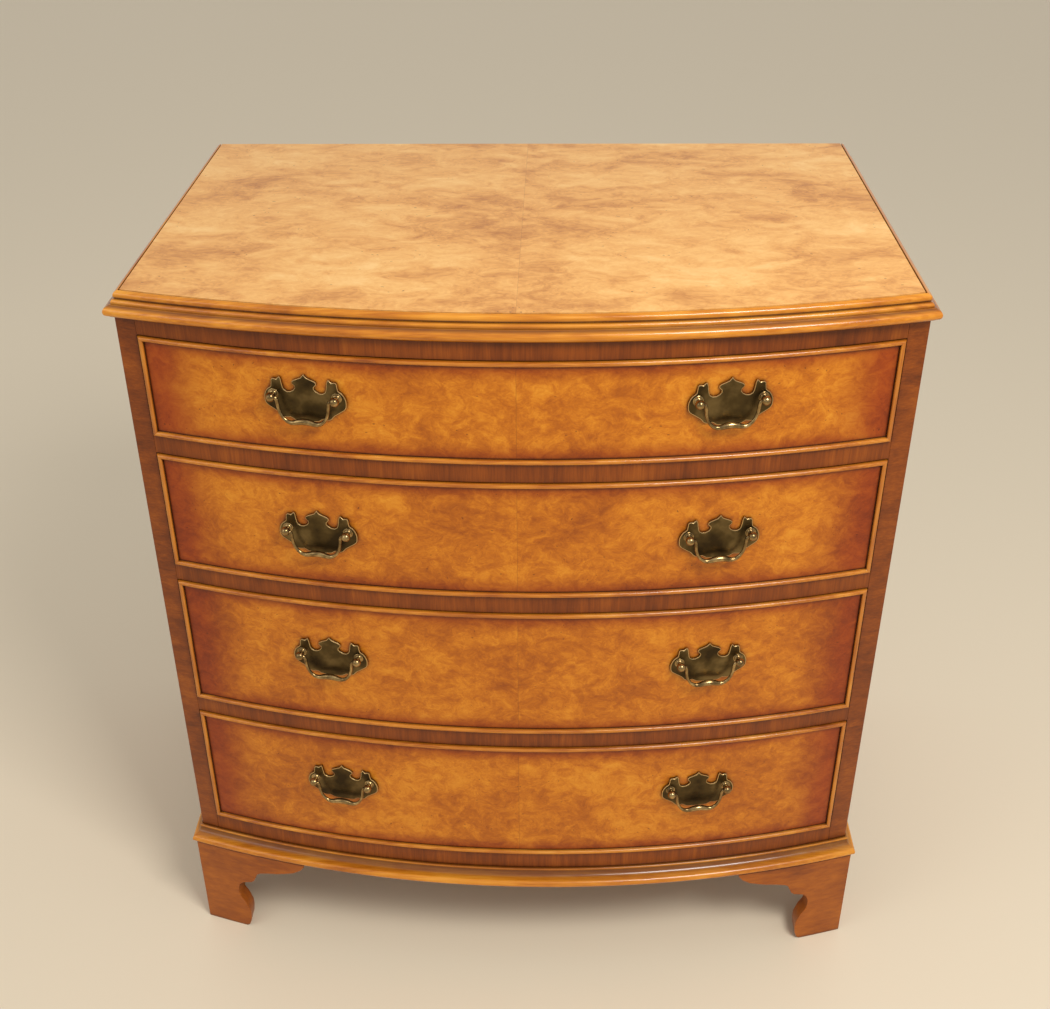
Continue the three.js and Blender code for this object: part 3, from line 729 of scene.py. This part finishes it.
# Post: radius and distance from the plate's face, in millimetres, as far as the ball
post_turning = [
    (0.4, -1), (5.4, -1), (5.4, 0.5), (5.0, 0.9), (4.1, 1.0), (3.8, 1.5), (4.0, 1.9), (3.7, 2.3), (2.9, 2.6),
    (2.7, 3.4), (2.9, 4.0), (3.5, 4.4),
]
# Bail: the centre line's right half, across and up from the post holes, with the radius of the rod there
bail_line = [
    (30, 0, 1.9), (28.4, 0, 1.9), (27, -0.7, 1.9), (26.1, -2.6, 1.8), (25.7, -6, 1.7), (25.1, -11.5, 1.6),
    (23.5, -17.2, 1.6), (20.6, -22.2, 1.7), (17, -25.2, 2.0), (13.5, -26.3, 2.3), (10, -26, 2.6),
    (6.5, -25, 3.0), (3, -24.3, 3.2), (0, -24.1, 3.3),
]

# Aged brass: cast and lacquered long ago, with a dark brown patina that still reflects the room
brass = new_material("aged brass", {"Metallic": 1.0})
place = add_node(brass, "TexCoord", {}, "Object")
patina, pits = [
    add_node(
        brass, "TexNoise",
        {"Vector": place, "Scale": 1 / (size * MM), "Detail": 3.0, "Roughness": rough, "W": seed},
        noise_dimensions="4D",
    )
    for size, rough, seed in ((25, 0.5, 1), (2.2, 0.55, 2))
]
brass_finish = {
    "Base Color": add_node(
        brass, "ValToRGB", {"Fac": patina}, stops=[(0.36, "#3c301e"), (0.5, "#554529"), (0.64, "#77633f")]
    ),
    "Roughness": add_node(brass, "Math", {0: patina, 1: -0.25, 2: 0.5}, operation="MULTIPLY_ADD"),
    "Normal": add_node(brass, "Bump", {"Height": pits, "Strength": 1.0, "Distance": 0.08 * MM}),
}
join_shader(brass, brass_finish)

# Worn brass: the balls and the bail, which hands keep bare and half bright
worn_brass = new_material("worn brass", {"Metallic": 1.0, "Roughness": 0.22})
place = add_node(worn_brass, "TexCoord", {}, "Object")
wear = {"Vector": place, "Scale": 1 / (8 * MM), "Detail": 3.0, "Roughness": 0.55, "W": 4}
wear = add_node(worn_brass, "TexNoise", wear, noise_dimensions="4D")
worn_tones = [(0.36, "#6f5a3a"), (0.5, "#94794e"), (0.64, "#b99b68")]
join_shader(worn_brass, {"Base Color": add_node(worn_brass, "ValToRGB", {"Fac": wear}, stops=worn_tones)})

# Rubbed brass: the edge of the plate, polished bare by cloths
rubbed = new_material("rubbed brass", {"Metallic": 1.0, "Base Color": linear("#d0b078"), "Roughness": 0.3})


def flat_piece(name, half, front, back):
    """A plate whose outline is a right half and its mirror image, seen from the front"""
    outline = half + [(-x, z) for x, z in reversed(half[1:-1])]
    piece = start_shape(name, [(x * MM, front, z * MM) for x, z in outline])
    edit_all()
    extrude((0, back - front, 0))
    return close_piece(piece)


def turned(name, section, centre, steps=32):
    """A turning about the line through its centre that points forwards, from radii and distances"""
    corners = [(centre.x + r * MM, centre.y - d * MM, centre.z) for r, d in section]
    piece = start_shape(name, corners, fill="NOTHING")
    edit_all()
    bpy.ops.mesh.spin(steps=steps, angle=2 * math.pi, center=centre, axis=(0, 1, 0))
    return close_piece(piece, angle=40)


def rod(name, line, sides=16):
    """A round rod along a centre line of (across, up, radius), as rings bridged one to the next"""
    points = [Vector((x, 0, z)) for x, z, _ in line]
    bpy.ops.object.select_all(action="DESELECT")
    rings = []
    for i, (x, z, radius) in enumerate(line):
        ahead = points[min(i + 1, len(points) - 1)] - points[max(i - 1, 0)]
        turn = ahead.to_track_quat("Z", "Y").to_euler()
        place = (x * MM, -PIVOT_LEAD, z * MM)
        ends = "NGON" if i in (0, len(line) - 1) else "NOTHING"
        bpy.ops.mesh.primitive_circle_add(
            vertices=sides, radius=radius * MM, fill_type=ends, location=place, rotation=turn
        )
        rings.append(bpy.context.object)
    for ring in rings:
        ring.select_set(True)
    bpy.context.view_layer.objects.active = rings[0]
    bpy.ops.object.join()
    piece = bpy.context.object
    piece.name = name
    piece.data.name = name
    bpy.ops.object.transform_apply(location=True, rotation=True, scale=True)
    edit_all()
    bpy.ops.mesh.bridge_edge_loops(type="SINGLE")
    return close_piece(piece)


plate_face = -PLATE_SEAT - PLATE_THICKNESS
plate = flat_piece("handle_plate", plate_half, plate_face, -PLATE_SEAT)
plate.data.materials.append(brass)
plate.data.materials.append(rubbed)
soften(plate, PLATE_ARRIS, angle=60, segments=2, shade=40, material=1)

# A ball of 130 degrees, from the neck of the post to its top
ball_lead = (PIVOT_LEAD - PLATE_SEAT - PLATE_THICKNESS) / MM
ball_round = [math.radians(130 - 130 * i / 12) for i in range(13)]
post_section = post_turning + [
    (max(BALL_RADIUS * math.sin(a), BALL_HOLE), ball_lead + BALL_RADIUS * math.cos(a)) for a in ball_round
]
posts = []
for way in (1, -1):
    post = turned("handle_post", post_section, Vector((way * POST_SPACING / 2, plate_face, 0)))
    post.data.materials.append(worn_brass)
    posts.append(post)
bail = rod("handle_bail", bail_line + [(-x, z, r) for x, z, r in reversed(bail_line[:-1])])
bail.data.materials.append(worn_brass)

handle_pieces = ((plate, "backplate"), (posts[0], "backplate"), (posts[1], "backplate"), (bail, "bail"))
for number in (1, 2, 3, 4):
    for side, way in (("left", -1), ("right", 1)):
        x = way * HANDLE_SPREAD
        place = Vector((x, bow_y(bow_centre, bow_radius, x), front_centres[number] + POST_LIFTS[number]))
        matrix = Matrix.Translation(place) @ Matrix.Rotation(math.asin(x / bow_radius), 4, "Z")
        for piece, kind in handle_pieces:
            copy = bpy.data.objects.new(f"drawer_{number}_{piece.name}_{side}", piece.data.copy())
            bpy.context.scene.collection.objects.link(copy)
            copy.data.transform(matrix)
            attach(copy, f"bail_{number}_{side}" if kind == "bail" else f"drawer_{number}")
            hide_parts(f"drawer_{number}_{kind}_{side}")
for piece, kind in handle_pieces:
    bpy.data.objects.remove(piece, do_unlink=True)


# Room: a plain pale floor, and soft light from a large source above on the right, with a weaker one on the
# left.
FLOOR_SIZE = 12
bpy.ops.mesh.primitive_plane_add(size=FLOOR_SIZE, location=(0, 0, 0))
floor = bpy.context.object
floor.name = "floor"
floor.data.materials.append(new_material("pale floor", {"Base Color": linear("#e8d8bc"), "Roughness": 0.7}))


def soft_light(name, place, aim, width, height, power):
    """A large lamp at a place, turned towards a point, in metres and watts"""
    lamp = bpy.data.lights.new(name, "AREA")
    lamp.shape = "RECTANGLE"
    lamp.size = width
    lamp.size_y = height
    lamp.energy = power
    holder = bpy.data.objects.new(name, lamp)
    bpy.context.scene.collection.objects.link(holder)
    aim_turn = (Vector(aim) - Vector(place)).to_track_quat("-Z", "Y").to_matrix().to_4x4()
    holder.matrix_world = Matrix.Translation(place) @ aim_turn


soft_light("key light", (0.9, -1.4, 2.3), (0, 0, 0.6), 0.8, 0.7, 37)
soft_light("fill light", (-2.0, -1.6, 2.2), (0, 0, 0.5), 1.4, 1.4, 8)
world = bpy.data.worlds.new("studio")
bpy.context.scene.world = world
world.use_nodes = True
world.node_tree.nodes["Background"].inputs["Color"].default_value = (1, 1, 1, 1)
world.node_tree.nodes["Background"].inputs["Strength"].default_value = 0.6
